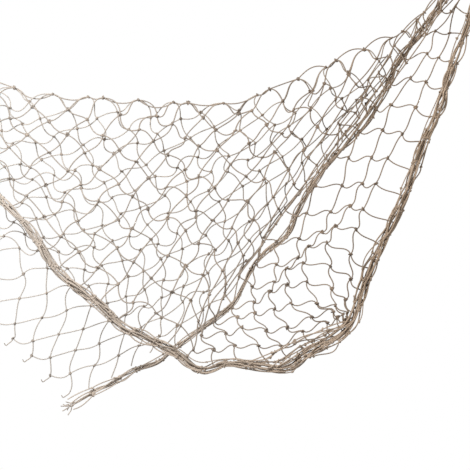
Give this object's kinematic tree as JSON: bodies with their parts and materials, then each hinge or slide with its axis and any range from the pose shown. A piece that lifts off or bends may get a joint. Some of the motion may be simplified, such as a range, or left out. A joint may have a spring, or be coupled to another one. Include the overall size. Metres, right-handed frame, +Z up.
{
  "type": "decorative fishing net",
  "caption": "Knotted cotton net folded over itself and hung as a swag from two points, with gathered edges and a loose cut edge.",
  "frame": {"origin": "the right hanging point, where the net's strands meet, at the middle of its depth", "axes": "+X to the right seen from the front, +Y to the back, +Z up. The net hangs down from the origin and from the left hanging point."},
  "size_m": [1.002, 0.1268, 0.7931],
  "materials": {
    "twine": "matt undyed twisted cotton twine"
  },
  "bodies": {
    "root": {"net": "twine"}
  },
  "joints": []
}
